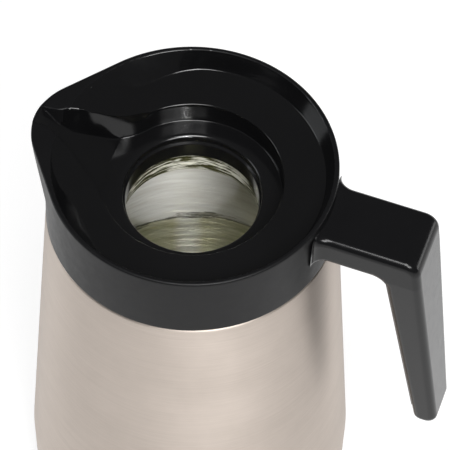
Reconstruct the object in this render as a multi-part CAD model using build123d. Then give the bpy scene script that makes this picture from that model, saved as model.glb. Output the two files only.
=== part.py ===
from build123d import *
import math
import os

# Vacuum carafe with a flared steel body, a moulded collar with a V spout and a cantilever handle.
# Millimetres. The origin is the centre of the base on the resting surface, +Z is up, the handle
# points to +X and the spout to -X.

# ---------------------------------------------------------------- driving dimensions
over = 1.0                    # how far a cutting form runs past the surface it opens
touch = 0.01                  # two places closer than this are the same
# Collar
rim_height = 248.0            # resting surface to the plane of the rim
rim_radius = 60.0             # outside of the rim
collar_skirt_radius = 61.3    # outside of the collar's lower edge
collar_depth = 32.1           # rim plane to the collar's lower edge
rim_land = 2.0                # flat ring on top of the rim
rim_edge_round = 0.8
pan_edge_round = 0.4
pan_depth = 9.0               # rim plane to the pan's floor, at the foot of its wall
pan_dish_radius = 50.0        # where the pan's floor starts to fall towards the well
pan_dish_drop = 2.8           # how far it has fallen at the well's edge
pan_foot_inset = 3.0          # how far the pan's wall leans in at the back and sides
pan_scoop = 5.0               # how much further it leans in beside the spout
scoop_start_angle = 42.0      # measured from the spout's direction
scoop_end_angle = 78.0
moulding_wall = 2.4
channel_floor_wall = 3.5      # moulding under the channel's floor, measured upright

# Spout
spout_tip_radius = 26.0       # round of the spout's nose, seen from above
spout_reach = 69.3            # axis to the tip of the spout
spout_drop = 18.0             # rim plane to where the spout has merged into the wall
spout_blend_share = 0.55      # how full the spout's underside is half-way down
channel_reach = 68.5          # axis to the outer end of the channel's floor
channel_floor_sweep = 1.4     # how hollow the channel's floor is; 1 is a straight slope
channel_lean = 12.3           # degrees that the channel's side walls lean out
well_edge_bevel = 0.5
channel_join_angle = 43.0     # degrees from the spout's direction to where the channel leaves the well
ramp_start = 25.0             # axis to where the ramp beside the channel leaves the pan's floor
ramp_start_depth = 12.6       # rim plane to the ramp there
ramp_shoulder = 39.0
ramp_shoulder_depth = 8.1
ramp_middle = 47.5
ramp_middle_depth = 3.6
ramp_end = 57.0

# Well and neck
well_radius = 37.8
well_depth = 22.5             # rim plane to the ledge
neck_top_radius = 31.0
neck_mouth_depth = 1.2        # height of the bevel at the neck's mouth
neck_seat_radius = 29.0       # upper step in the neck, where a stopper's skirt seats
neck_bore_radius = 28.0       # the neck's main bore
neck_seat_depth = 2.0
neck_step_depth = 1.0         # height of the bevel between the seat and the bore
neck_length = 12.5            # ledge to the neck's lower end
neck_tube_wall = 1.2
ledge_thickness = 4.0

# Steel shell
shell_wall = 0.6
shell_knee_radius = 74.8
shell_knee_height = 45.1
shell_knee_round = 9.0
shell_foot_height = 9.5       # resting surface to the shell's lower edge
shell_edge_round = 1.4
shell_top_flange = 4.7        # width of the shell's turned-in upper edge
shell_foot_flange = 4.6       # width of its turned-in lower edge

# Joint between the shell and the collar
top_gasket_thickness = 0.5
top_gasket_inset = 0.9
lock_tube_wall = 2.4
lock_flange_thickness = 3.0
lock_flange_clearance = 0.7
lock_thread_length = 12.0
lock_key_count = 6
lock_key_width = 6.0
lock_key_depth = 1.4
thread_clearance = 0.2

# Vacuum flask
glass_wall = 1.6
vacuum_gap = 3.5
flask_shell_clearance = 4.2
flask_neck_radius = 29.7      # inside of the flask's neck
flask_neck_length = 20.0      # lip to the foot of the neck
flask_shoulder_height = 17.0  # height of the sloping shoulder
flask_shoulder_round = 14.0
flask_neck_round = 6.0
flask_bottom_round = 24.0
flask_bottom_height = 20.0    # resting surface to the underside of the flask
flask_lip_height = 3.0
spacer_radius = 6.0
spacer_count = 3
spacer_height = 60.0
spacer_first_angle = 60.0     # from the handle's direction
tail_radius = 4.0
tail_tip_radius = 2.0
tail_length = 7.0
tail_cap_wall = 1.6
tail_cap_end = 1.5
neck_seal_thickness = 2.0
neck_seal_skirt = 6.0
neck_seal_wall = 2.0
cushion_radius = 48.0
cushion_hole_radius = 11.0
cushion_rise = 6.0            # how far the cushion reaches up the round of the flask's bottom

# Base
base_ring_round = 2.5
base_ring_inset = 1.0         # how far the base ring stands inside the shell's outline
base_bottom_height = 1.5      # resting surface to the base ring's underside
base_web_thickness = 4.0
base_bore_radius = 56.3
base_bore_height = 14.0       # resting surface to the top of the threaded collar
base_bore_wall = 3.2
spigot_wall = 3.0
spigot_height = 7.0
spigot_clearance = 0.3
snap_bead = 0.8
snap_bead_height = 1.6
plate_flange_width = 4.0
plate_flange_thickness = 2.0
plate_wall = 3.0
plate_floor = 3.0
plate_gasket_thickness = 0.6
finger_slot_length = 26.0
finger_slot_width = 9.0
finger_slot_depth = 1.6
finger_slot_offset = 26.0
foot_inner_radius = 62.8
foot_width = 6.0
foot_seat_depth = 1.2
foot_edge_round = 0.5

# Handle
handle_top_drop = 5.5         # rim plane to the top of the arm
arm_thickness = 14.6
arm_half_width = 15.0
grip_end_half_width = 9.8
grip_length = 123.5           # top of the arm to the end of the grip
grip_outer_top = 101.6        # axis to the outside of the grip, level with the arm's top
grip_outer_lean = 8.2         # degrees
grip_inner_top = 88.0         # axis to the inside of the grip, level with the arm's underside
grip_inner_lean = 10.7
arm_corner_round = 7.0
grip_corner_round = 7.0
grip_end_round = 5.0
grip_end_inner_round = 4.0
handle_edge_round = 3.2
root_flare = 4.0
root_flare_length = 3.6
root_flare_fade = 1.0         # further length over which the flare fades into the arm
root_overlap = 2.0            # how far the root's form runs into the collar before it is cut to it
root_flare_height_share = 0.9  # the flare's growth in height against its growth to each side
cover_thickness = 2.2
cover_proud = 0.7
cover_top_margin = 7.0        # underside of the arm to the cover's upper end
cover_end_margin = 8.0
cover_side_margin = 2.6
cover_clearance = 0.1
core_wall = 2.8
root_screw_spacing = 17.0
root_screw_radius = 1.75
root_screw_head_radius = 3.2
root_screw_head_height = 2.2
root_screw_reach = 9.0        # how far a root screw goes into its insert
root_screw_drop = 1.4         # lock ring's top to the edge of a root screw's head
root_seat_depth = 0.6         # how far a root screw's seat is cut into the collar's wall
insert_wall = 1.3
insert_length = 10.0
insert_depth = 1.0            # wall of the collar to the insert's face
insert_thread_clearance = 0.05
screw_clearance = 0.15
cover_screw_radius = 1.4
cover_screw_head_radius = 2.7
cover_screw_head_height = 1.5
cover_screw_length = 7.0      # depth of the hole in the boss
cover_screw_end_gap = 1.0     # end of the screw to the end of its hole
cover_boss_radius = 3.6
cover_screw_inset = 9.0       # cover's ends to its screws

# ---------------------------------------------------------------- worked-out places
collar_foot = rim_height - collar_depth
pan_floor = rim_height - pan_depth
well_edge = pan_floor - pan_dish_drop
pan_radius = rim_radius - rim_land
ledge_level = rim_height - well_depth
neck_foot = ledge_level - neck_length
seal_top = ledge_level - ledge_thickness
lip_level = seal_top - neck_seal_thickness
well_outer_radius = well_radius + moulding_wall

flange_top = collar_foot - top_gasket_thickness
shell_top_radius = collar_skirt_radius
mouth_radius = shell_top_radius - shell_top_flange
thread_radius = mouth_radius - thread_clearance
lock_outer_radius = thread_radius - thread_clearance
lock_inner_radius = lock_outer_radius - lock_tube_wall
lock_flange_top = flange_top - shell_wall
lock_flange_radius = shell_top_radius - shell_wall - lock_flange_clearance
lock_top = collar_foot + lock_thread_length

flask_outer_neck = flask_neck_radius + 2 * glass_wall + vacuum_gap
flask_neck_foot = lip_level - flask_neck_length
flask_shoulder_foot = flask_neck_foot - flask_shoulder_height

root_screw_level = lock_top + root_screw_head_radius + root_screw_drop
insert_radius = root_screw_radius + insert_wall
insert_start = collar_skirt_radius + insert_depth
arm_top = rim_height - handle_top_drop
arm_under = arm_top - arm_thickness
grip_end = arm_top - grip_length

plate_flange_radius = base_bore_radius + plate_flange_width
plate_flange_top = base_bottom_height + plate_flange_thickness
plate_seat = plate_flange_top + plate_gasket_thickness
plate_radius = base_bore_radius - thread_clearance
plate_floor_top = base_bottom_height + plate_floor
plate_top = base_bore_height
foot_opening_radius = shell_knee_radius - shell_foot_flange
flask_foot_radius = foot_opening_radius - shell_wall
spigot_radius = foot_opening_radius - spigot_clearance


# ---------------------------------------------------------------- helpers
def turned(*points):
    """Solid of revolution about Z whose closed outline has the (radius, height) points."""
    corners = [(radius, 0, height) for radius, height in points]
    return revolve(make_face(Polyline(*corners, close=True)), Axis.Z)


def ring(inner, outer, low, high):
    return turned((inner, low), (outer, low), (outer, high), (inner, high))


def disc(radius, low, high):
    return Pos(0, 0, low) * extrude(Circle(radius), high - low)


def side_slab(points, half_width):
    """Slab across Y whose closed side outline has the (x, z) points."""
    corners = [(x, 0, z) for x, z in points]
    return extrude(make_face(Polyline(*corners, close=True)), half_width, dir=(0, 1, 0), both=True)


def smooth_step(share):
    share = min(max(share, 0.0), 1.0)
    return share * share * (3 - 2 * share)


def mirrored_outline(points):
    """Closed outline, symmetric about Z, whose right half has the (radius, height) points."""
    right = [(radius, 0, height) for radius, height in points]
    left = [(-radius, 0, height) for radius, height in reversed(points) if radius > 0]
    return make_face(Polyline(*right, *left, close=True))


def revolved_half(outline):
    """Turn the right half of an outline that is symmetric about Z."""
    half = Plane.XZ * (Pos(rim_height, 0) * Rectangle(2 * rim_height, 4 * rim_height))
    return revolve(outline & half, Axis.Z)


# ---------------------------------------------------------------- collar
def wall_radius(height):
    """Outside of the collar's round wall at a height."""
    lean = (collar_skirt_radius - rim_radius) / collar_depth
    return rim_radius + lean * (rim_height - height)


def spout_outline_radius(angle, share, base_radius):
    """Distance from the axis to the collar's outline, at an angle from the spout's direction.

    The outline is the hull of the round wall and the spout's nose; share 0 is the plain circle.
    """
    nose = base_radius - share * (rim_radius - spout_tip_radius)
    centre = share * (spout_reach - spout_tip_radius)
    contact = math.acos((base_radius - nose) / centre) if centre > 0 else 0.0
    nose_end = math.atan2(nose * math.sin(contact), centre + nose * math.cos(contact))
    away = abs(angle)
    if away >= contact:
        return base_radius
    if away >= nose_end:
        return base_radius / math.cos(contact - away)
    across = centre * math.sin(away)
    return centre * math.cos(away) + math.sqrt(nose * nose - across * across)


def closed_curve(radius_at, height):
    """Smooth closed curve about Z, radius_at(angle from the spout's direction)."""
    count = 48
    points = []
    for index in range(count):
        angle = 2 * math.pi * index / count - math.pi
        radius = radius_at(angle)
        points.append((-radius * math.cos(angle), -radius * math.sin(angle), height))
    return make_face(Spline(*points, periodic=True))


def collar_section(height):
    share = smooth_step((height - rim_height + spout_drop) / spout_drop)
    share = share * spout_blend_share + (1 - spout_blend_share) * max(
        0.0, 1 - (rim_height - height) / spout_drop)
    base = wall_radius(height)
    return closed_curve(lambda angle: spout_outline_radius(angle, share, base), height)


def collar_outer():
    """The collar's outer form: a plain skirt up to the spout's foot, then the spout's flare."""
    steps = 4
    heights = [rim_height - spout_drop * (1 - index / steps) for index in range(steps + 1)]
    skirt = loft([collar_section(collar_foot), collar_section(heights[0])], ruled=True)
    return skirt + loft([collar_section(height) for height in heights])


def dish_tool(high):
    """The fall of the pan's floor towards the well and the bevel at its edge, open up to a height."""
    fall = pan_dish_drop / (pan_dish_radius - well_radius)
    bevel_height = well_edge + fall * well_edge_bevel
    return turned((0, well_edge - well_edge_bevel), (well_radius, well_edge - well_edge_bevel),
                  (well_radius + well_edge_bevel, bevel_height), (pan_dish_radius, pan_floor),
                  (pan_dish_radius, high), (0, high))


def ramp_form():
    """The material under the ramp that climbs to the rim on both sides of the channel."""
    start = rim_height - ramp_start_depth
    ramp = Spline((-ramp_start, 0, start), (-ramp_shoulder, 0, rim_height - ramp_shoulder_depth),
                  (-ramp_middle, 0, rim_height - ramp_middle_depth), (-ramp_end, 0, rim_height),
                  tangents=((-1, 0, 0.3), (-1, 0, 0.25)))
    beyond = Polyline((-ramp_end, 0, rim_height), (-rim_height, 0, rim_height + pan_depth),
                      (-rim_height, 0, well_edge - pan_depth), (-ramp_start, 0, well_edge - pan_depth),
                      (-ramp_start, 0, start))
    return extrude(make_face([ramp, beyond]), rim_radius, dir=(0, 1, 0), both=True)


def pan_tool():
    """The shallow pan, above its dished floor and the ramp."""
    def foot_radius(angle):
        away = math.degrees(abs(angle))
        scoop = smooth_step((scoop_end_angle - away) / (scoop_end_angle - scoop_start_angle))
        return pan_radius - pan_foot_inset - pan_scoop * scoop

    def mouth(angle):
        return pan_radius + (pan_radius - foot_radius(angle)) * over / pan_depth

    bowl = loft([closed_curve(foot_radius, pan_floor), closed_curve(mouth, rim_height + over)])
    return bowl + dish_tool(rim_height) - ramp_form()


def basin_section(height, grow):
    """Outline of the well and the spout's channel together, at one height."""
    rise = (height - ledge_level) * math.tan(math.radians(channel_lean))
    radius = well_radius + grow
    join = math.radians(channel_join_angle)
    start = (-radius * math.cos(join), radius * math.sin(join))
    # distance from the axis, half-width at the ledge's level and share of the lean
    stations = [(31.5, 20.8, 0.72), (34.7, 17.8, 0.62), (37.9, 15.6, 0.5), (41.0, 13.3, 0.55),
                (47.5, 9.2, 0.52), (53.0, 4.5, 0.96), (57.0, 0.9, 1.3), (61.0, 0.1, 1.0),
                (channel_reach, 0.1, 0.81)]
    upper = [start]
    for reach, half_width, share in stations:
        upper.append((-reach, half_width + rise * share + grow))
    along = (-math.sin(join), -math.cos(join))
    side = Spline(*[(x, y, height) for x, y in upper], tangents=((*along, 0), (-1, 0, 0)))
    other = Spline(*[(x, -y, height) for x, y in upper],
                   tangents=((along[0], -along[1], 0), (-1, 0, 0)))
    end_x, end_y = upper[-1]
    end = Line((end_x, end_y, height), (end_x, -end_y, height))
    round_side = ThreePointArc((start[0], start[1], height), (radius, 0, height),
                               (start[0], -start[1], height))
    return make_face([round_side, side, end, other])


def channel_floor_form(low):
    """The material under the channel's floor, which rises from the well's wall; lowered by low."""
    run = channel_reach - well_radius
    count = 7
    floor = []
    for index in range(count + 1):
        share = index / count
        height = ledge_level - low + well_depth * share**channel_floor_sweep
        floor.append((-well_radius - run * share, 0, height))
    slope = well_depth * channel_floor_sweep / run
    sweep = Spline(*floor, tangents=((-1, 0, 0), (-1, 0, slope)))
    end_x, _, end_height = floor[-1]
    beyond = Polyline(floor[-1], (end_x - run, 0, end_height + run * slope), (end_x - run, 0, collar_foot),
                      (-well_radius, 0, collar_foot), floor[0])
    return extrude(make_face([sweep, beyond]), rim_radius, dir=(0, 1, 0), both=True)


def basin_tool(grow=0.0, low=0.0):
    """The well and the channel; grow widens it and low lowers it, for the moulding under it."""
    sections = [basin_section(ledge_level - low, grow), basin_section(rim_height + over, grow)]
    return loft(sections, ruled=True) - channel_floor_form(low)


def neck_tool():
    """The stepped hole through the ledge: bevelled mouth, seat for a stopper's skirt, and bore."""
    seat_top = ledge_level - neck_mouth_depth
    seat_foot = seat_top - neck_seat_depth
    return turned((0, neck_foot - over), (neck_bore_radius, neck_foot - over),
                  (neck_bore_radius, seat_foot - neck_step_depth), (neck_seat_radius, seat_foot),
                  (neck_seat_radius, seat_top), (neck_top_radius, ledge_level),
                  (neck_top_radius, ledge_level + over), (0, ledge_level + over))


def underside_tool():
    """The hollow under the pan, which leaves a moulding wall under the pan, well and channel."""
    low = collar_foot - over
    roof = pan_floor - moulding_wall
    tube = neck_bore_radius + neck_tube_wall
    hollow = turned((tube, low), (thread_radius, low), (thread_radius, roof), (pan_dish_radius, roof),
                    (well_outer_radius, well_edge - moulding_wall), (well_outer_radius, seal_top),
                    (tube, seal_top))
    return hollow - basin_tool(moulding_wall, channel_floor_wall)


def root_screw_sites():
    return [root_screw_spacing * side / 2 for side in (-1, 1)]


def along_x(radius, start, end, y, z):
    """Round bar along X."""
    return Pos(start, y, z) * (Rot(0, 90, 0) * extrude(Circle(radius), end - start))


def root_screw_seat():
    """X of the flats inside the collar's wall that the root screws' heads bear on."""
    return thread_radius + root_seat_depth


def nearest_edge(body, *place):
    """The edge whose middle is nearest to a place."""
    return min(body.edges(), key=lambda edge: (edge.center() - Vector(*place)).length)


def round_collar(body):
    """Round the rim and the pan's upper edge."""
    body = fillet(nearest_edge(body, -spout_reach, 0, rim_height), rim_edge_round)
    return fillet(nearest_edge(body, pan_radius, 0, rim_height), pan_edge_round)


def make_collar():
    body = collar_outer()
    body += ring(neck_bore_radius - over, neck_bore_radius + neck_tube_wall, neck_foot, ledge_level)
    body -= basin_tool()
    body -= pan_tool()
    body -= neck_tool()
    body = round_collar(body)
    body -= underside_tool()
    seat = root_screw_seat()
    for y in root_screw_sites():
        body -= along_x(root_screw_radius + screw_clearance, seat - over, wall_radius(arm_under) + over,
                        y, root_screw_level)
        body -= along_x(root_screw_head_radius + screw_clearance, lock_inner_radius, seat, y,
                        root_screw_level)
    return body


# ---------------------------------------------------------------- shell and its joint
def shell_outline():
    points = [(0, shell_foot_height), (shell_knee_radius, shell_foot_height),
              (shell_knee_radius, shell_knee_height), (shell_top_radius, flange_top), (0, flange_top)]
    return mirrored_outline(points)


def round_corners(outline, height, radius):
    """Round the outline's outer corners at one height."""
    corners = [v for v in outline.vertices() if abs(v.Z - height) < touch and abs(v.X) > touch]
    return fillet(corners, radius)


def make_shell():
    outline = shell_outline()
    outline = round_corners(outline, shell_knee_height, shell_knee_round)
    outline = round_corners(outline, shell_foot_height, shell_edge_round)
    outline = round_corners(outline, flange_top, shell_edge_round)
    hollow = offset(outline, -shell_wall)
    shell = revolved_half(outline) - revolved_half(hollow)
    shell -= disc(mouth_radius, shell_knee_height, rim_height)
    shell -= disc(foot_opening_radius, 0, shell_knee_height)
    return shell


def make_top_gasket():
    outer = shell_top_radius - top_gasket_inset - shell_edge_round
    return ring(mouth_radius + thread_clearance, outer, flange_top, collar_foot)


def make_lock_ring():
    foot = lock_flange_top - lock_flange_thickness
    body = turned((lock_inner_radius, foot), (lock_flange_radius, foot),
                  (lock_flange_radius, lock_flange_top), (lock_outer_radius, lock_flange_top),
                  (lock_outer_radius, lock_top), (lock_inner_radius, lock_top))
    key = Box(2 * lock_key_depth, lock_key_width, 2 * lock_flange_thickness)
    key = Pos(lock_inner_radius, 0, foot) * key
    for index in range(lock_key_count):
        body -= Rot(0, 0, 360 * (index + 0.5) / lock_key_count) * key
    return body


# ---------------------------------------------------------------- vacuum flask
def flask_outline():
    shell_lean = (shell_knee_radius - shell_top_radius) / (flange_top - shell_knee_height)
    shoulder = (shell_top_radius + shell_lean * (flange_top - flask_shoulder_foot)
                - shell_wall - flask_shell_clearance)
    points = [(0, flask_bottom_height), (flask_foot_radius, flask_bottom_height),
              (shoulder, flask_shoulder_foot), (flask_outer_neck, flask_neck_foot),
              (flask_outer_neck, rim_height), (0, rim_height)]
    outline = mirrored_outline(points)
    outline = round_corners(outline, flask_bottom_height, flask_bottom_round)
    outline = round_corners(outline, flask_shoulder_foot, flask_shoulder_round)
    return round_corners(outline, flask_neck_foot, flask_neck_round)


def flask_form(inset):
    """Solid inside the flask's outer face, moved in by a distance."""
    outline = flask_outline()
    if inset > 0:
        outline = offset(outline, -inset)
    return revolved_half(outline)


def make_flask_outer(outer, outer_inside):
    """Outer glass with its sealed-off tail."""
    body = outer - outer_inside
    tip = flask_bottom_height - tail_length
    root = flask_bottom_height + glass_wall / 2
    tail = turned((0, tip), (tail_tip_radius, tip), (tail_radius, flask_bottom_height), (tail_radius, root),
                  (0, root))
    return body + tail - disc(rim_height, lip_level - flask_lip_height, 2 * rim_height)


def make_flask_inner(inner, inner_inside):
    """Inner glass, whose rolled lip closes the gap at the neck."""
    rolled = glass_wall
    lip_foot = lip_level - flask_lip_height
    lip = turned((flask_neck_radius, lip_foot), (flask_outer_neck, lip_foot),
                 (flask_outer_neck, lip_level - rolled), (flask_outer_neck - rolled, lip_level),
                 (flask_neck_radius + rolled, lip_level), (flask_neck_radius, lip_level - rolled))
    body = inner - inner_inside - disc(rim_height, lip_foot, 2 * rim_height)
    return body + lip


def make_spacer_pads(outer_inside, inner):
    """Pads in the vacuum gap that keep the two glasses apart."""
    pads = []
    gap = outer_inside - inner
    for index in range(spacer_count):
        turn = Rot(0, 0, 360 * index / spacer_count + spacer_first_angle)
        pads.append(turn * (along_x(spacer_radius, 0, shell_knee_radius, 0, spacer_height) & gap))
    return pads


def make_tail_cap():
    """Soft cap over the glass tail."""
    tip = flask_bottom_height - tail_length
    outer = tail_radius + tail_cap_wall
    high = flask_bottom_height - tail_cap_end
    inner = tail_tip_radius + (tail_radius - tail_tip_radius) * (high - tip) / tail_length
    return turned((0, tip - tail_cap_wall), (outer, tip - tail_cap_wall), (outer, high), (inner, high),
                  (tail_tip_radius, tip), (0, tip))


def make_neck_seal():
    """Silicone ring on the flask's lip, with a skirt round its outside."""
    outer = flask_outer_neck + neck_seal_wall
    return turned((flask_neck_radius, lip_level), (flask_outer_neck, lip_level),
                  (flask_outer_neck, lip_level - neck_seal_skirt), (outer, lip_level - neck_seal_skirt),
                  (outer, seal_top), (flask_neck_radius, seal_top))


def make_cushion(outer):
    body = disc(cushion_radius, plate_floor_top, flask_bottom_height + flask_bottom_round)
    body -= disc(cushion_hole_radius, 0, rim_height)
    body -= outer
    return body - disc(rim_height, flask_bottom_height + cushion_rise, rim_height)


# ---------------------------------------------------------------- base
def make_base_ring():
    outer = shell_knee_radius - base_ring_inset
    web_top = base_bottom_height + base_web_thickness
    spigot_inner = spigot_radius - spigot_wall
    bore_outer = base_bore_radius + base_bore_wall
    shelf = shell_foot_height
    bead_foot = shell_foot_height + shell_wall + spigot_clearance
    bead_top = bead_foot + snap_bead_height
    spigot_top = shell_foot_height + spigot_height
    body = turned((base_bore_radius, base_bottom_height), (outer - base_ring_round, base_bottom_height),
                  (outer, base_bottom_height + base_ring_round), (outer, shelf), (spigot_radius, shelf),
                  (spigot_radius, bead_foot), (spigot_radius + spigot_clearance + snap_bead, bead_foot),
                  (spigot_radius, bead_top), (spigot_radius, spigot_top), (spigot_inner, spigot_top),
                  (spigot_inner, web_top), (bore_outer, web_top), (bore_outer, base_bore_height),
                  (base_bore_radius, base_bore_height))
    body -= disc(plate_flange_radius + spigot_clearance, 0, plate_seat)
    foot_outer = foot_inner_radius + foot_width
    return body - ring(foot_inner_radius, foot_outer, 0, base_bottom_height + foot_seat_depth)


def make_base_plate():
    """Screw-in plate that presses the flask up against its seals."""
    inner = plate_radius - plate_wall
    body = turned((0, base_bottom_height), (plate_flange_radius, base_bottom_height),
                  (plate_flange_radius, plate_flange_top), (plate_radius, plate_flange_top),
                  (plate_radius, plate_top), (inner, plate_top), (inner, plate_floor_top),
                  (0, plate_floor_top))
    for side in (-1, 1):
        slot = SlotOverall(finger_slot_length, finger_slot_width)
        body -= Pos(0, side * finger_slot_offset, 0) * extrude(slot, base_bottom_height + finger_slot_depth)
    return body


def make_base_gasket():
    return ring(base_bore_radius + thread_clearance, plate_flange_radius, plate_flange_top, plate_seat)


def make_foot_ring():
    top = base_bottom_height + foot_seat_depth
    outer = foot_inner_radius + foot_width
    edge = foot_edge_round
    return turned((foot_inner_radius, edge), (foot_inner_radius + edge, 0), (outer - edge, 0),
                  (outer, edge), (outer, top), (foot_inner_radius, top))


# ---------------------------------------------------------------- handle
def grip_outer(height):
    return grip_outer_top + math.tan(math.radians(grip_outer_lean)) * (arm_top - height)


def grip_inner(height):
    return grip_inner_top + math.tan(math.radians(grip_inner_lean)) * (arm_under - height)


def grip_half_width(height):
    share = (arm_under - height) / (arm_under - grip_end)
    return arm_half_width + (grip_end_half_width - arm_half_width) * max(share, 0.0)


def width_slab(inset, high, low):
    """Slab along X, as wide as the grip less an inset on each side."""
    heights = [high, arm_under, low] if high > arm_under > low else [high, low]
    right = [(grip_half_width(height) - inset, height) for height in heights]
    left = [(-y, z) for y, z in reversed(right)]
    face = make_face(Polyline(*[(0, y, z) for y, z in right + left], close=True))
    return extrude(face, rim_height, dir=(1, 0, 0))


def handle_form():
    """Arm and grip with rounded edges, from the plane where the flared root starts."""
    start = root_plane()
    points = [(start, arm_top), (grip_outer(arm_top), arm_top), (grip_outer(grip_end), grip_end),
              (grip_inner(grip_end), grip_end), (grip_inner(arm_under), arm_under), (start, arm_under)]
    outline = make_face(Polyline(*[(x, 0, z) for x, z in points], close=True))
    rounds = [(grip_outer(arm_top), arm_top, arm_corner_round),
              (grip_inner(arm_under), arm_under, grip_corner_round),
              (grip_outer(grip_end), grip_end, grip_end_round),
              (grip_inner(grip_end), grip_end, grip_end_inner_round)]
    for x, z, radius in rounds:
        corner = [v for v in outline.vertices() if abs(v.X - x) < touch and abs(v.Z - z) < touch]
        outline = fillet(corner, radius)
    body = extrude(outline, 2 * arm_half_width, dir=(0, 1, 0), both=True)
    body = body & width_slab(0, arm_top + handle_edge_round, grip_end - handle_edge_round)
    long_edges = [e for e in body.edges() if e.center().X > start + touch and abs(e.center().Y) > touch]
    return fillet(long_edges, handle_edge_round)


def root_plane():
    return wall_radius(arm_top) + root_flare_length + root_flare_fade


def root_form():
    """Flared root: rounded sections that grow towards the collar's wall and on into it."""
    steps = 4
    middle = (arm_top + arm_under) / 2
    length = root_plane() - wall_radius(arm_top) + root_overlap
    sections = []
    for index in range(steps + 1):
        share = 1 - index / steps
        grow = root_flare * (1 - math.sqrt(max(0.0, 1 - share ** 2)))
        sheet = RectangleRounded(arm_thickness + root_flare_height_share * grow,
                                 2 * (arm_half_width + grow), handle_edge_round)
        place = Plane(origin=(root_plane() - share * length, 0, middle), x_dir=(0, 0, 1), z_dir=(1, 0, 0))
        sections.append(place * sheet)
    return loft(sections)


def inner_face_plane(height, depth):
    """Plane on the grip's inner face, moved into the grip by a depth; its Z points out of the grip."""
    lean = math.radians(grip_inner_lean)
    outward = (-math.cos(lean), 0, -math.sin(lean))
    origin = (grip_inner(height) - depth * outward[0], 0, height - depth * outward[2])
    return Plane(origin=origin, x_dir=(0, 1, 0), z_dir=outward)


def band(outward, inward, high, low):
    """Closed side outline of a layer along the grip's inner face."""
    return [(grip_inner(high) - outward, high), (grip_inner(high) + inward, high),
            (grip_inner(low) + inward, low), (grip_inner(low) - outward, low)]


def cover_form(clearance):
    """Cover strip on the grip's inner face, a little proud of it."""
    high = arm_under - cover_top_margin + clearance
    low = grip_end + cover_end_margin - clearance
    strip = side_slab(band(cover_proud, cover_thickness + clearance, high, low), arm_half_width)
    return strip & width_slab(cover_side_margin - clearance, arm_top, grip_end)


def cover_screw_heights():
    high = arm_under - cover_top_margin - cover_screw_inset
    low = grip_end + cover_end_margin + cover_screw_inset
    return [high, low]


def grip_hollow():
    """Hollow in the grip behind the cover, with a boss for each cover screw."""
    high = arm_under - cover_top_margin - core_wall
    low = grip_end + cover_end_margin + core_wall
    points = [(grip_inner(high), high), (grip_outer(high) - core_wall, high),
              (grip_outer(low) - core_wall, low), (grip_inner(low), low)]
    hollow = side_slab(points, arm_half_width)
    hollow &= width_slab(cover_side_margin + core_wall, arm_top, grip_end)
    boss = extrude(Circle(cover_boss_radius), -arm_half_width)
    for height in cover_screw_heights():
        hollow -= inner_face_plane(height, cover_thickness) * boss
    return hollow


def make_handle(collar_body):
    body = handle_form() + root_form()
    body -= collar_body
    body -= cover_form(cover_clearance)
    body -= grip_hollow()
    for height in cover_screw_heights():
        hole = Circle(cover_screw_radius)
        body -= inner_face_plane(height, cover_thickness) * extrude(hole, -cover_screw_length)
    for y in root_screw_sites():
        body -= along_x(insert_radius, lock_inner_radius, insert_start + insert_length, y, root_screw_level)
    return body


def make_cover():
    body = cover_form(0)
    rounded = [e for e in body.edges() if e.length > grip_length / 2]
    outer_edges = sorted(rounded, key=lambda e: e.center().X)[:2]
    body = fillet(outer_edges, cover_proud)
    for height in cover_screw_heights():
        hole = extrude(Circle(cover_screw_radius + screw_clearance), 2 * cover_thickness, both=True)
        head = extrude(Circle(cover_screw_head_radius + screw_clearance), 2 * cover_thickness)
        body -= inner_face_plane(height, cover_thickness) * hole
        body -= inner_face_plane(height, cover_screw_head_height - cover_proud) * head
    return body


def make_cover_screws():
    screws = []
    for height in cover_screw_heights():
        seat = cover_screw_head_height - cover_proud
        head = extrude(Circle(cover_screw_head_radius), cover_screw_head_height - screw_clearance)
        slot = Box(2 * cover_screw_head_radius, cover_screw_radius / 2, cover_screw_radius)
        head -= Pos(0, 0, cover_screw_head_height) * slot
        depth = cover_thickness - seat + cover_screw_length - cover_screw_end_gap
        shank = extrude(Circle(cover_screw_radius), -depth)
        screws.append(inner_face_plane(height, seat) * (head + shank))
    return screws


def make_root_screws():
    screws = []
    seat = root_screw_seat()
    for y in root_screw_sites():
        head = along_x(root_screw_head_radius, seat - root_screw_head_height, seat, y, root_screw_level)
        shank = along_x(root_screw_radius, seat, insert_start + root_screw_reach, y, root_screw_level)
        key = Pos(seat - root_screw_head_height, y, root_screw_level) * Rot(0, 90, 0)
        socket = extrude(RegularPolygon(root_screw_radius, 6), root_screw_head_height / 2, both=True)
        screws.append(head + shank - key * socket)
    return screws


def make_inserts():
    inserts = []
    for y in root_screw_sites():
        body = along_x(insert_radius, insert_start, insert_start + insert_length, y, root_screw_level)
        bore = along_x(root_screw_radius + insert_thread_clearance, insert_start,
                       insert_start + insert_length, y, root_screw_level)
        inserts.append(body - bore)
    return inserts


# ---------------------------------------------------------------- writing the parts
def write(name, *solids):
    shape = solids[0] if len(solids) == 1 else Compound(children=list(solids))
    export_step(shape, f"parts/{name}.step")


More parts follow.
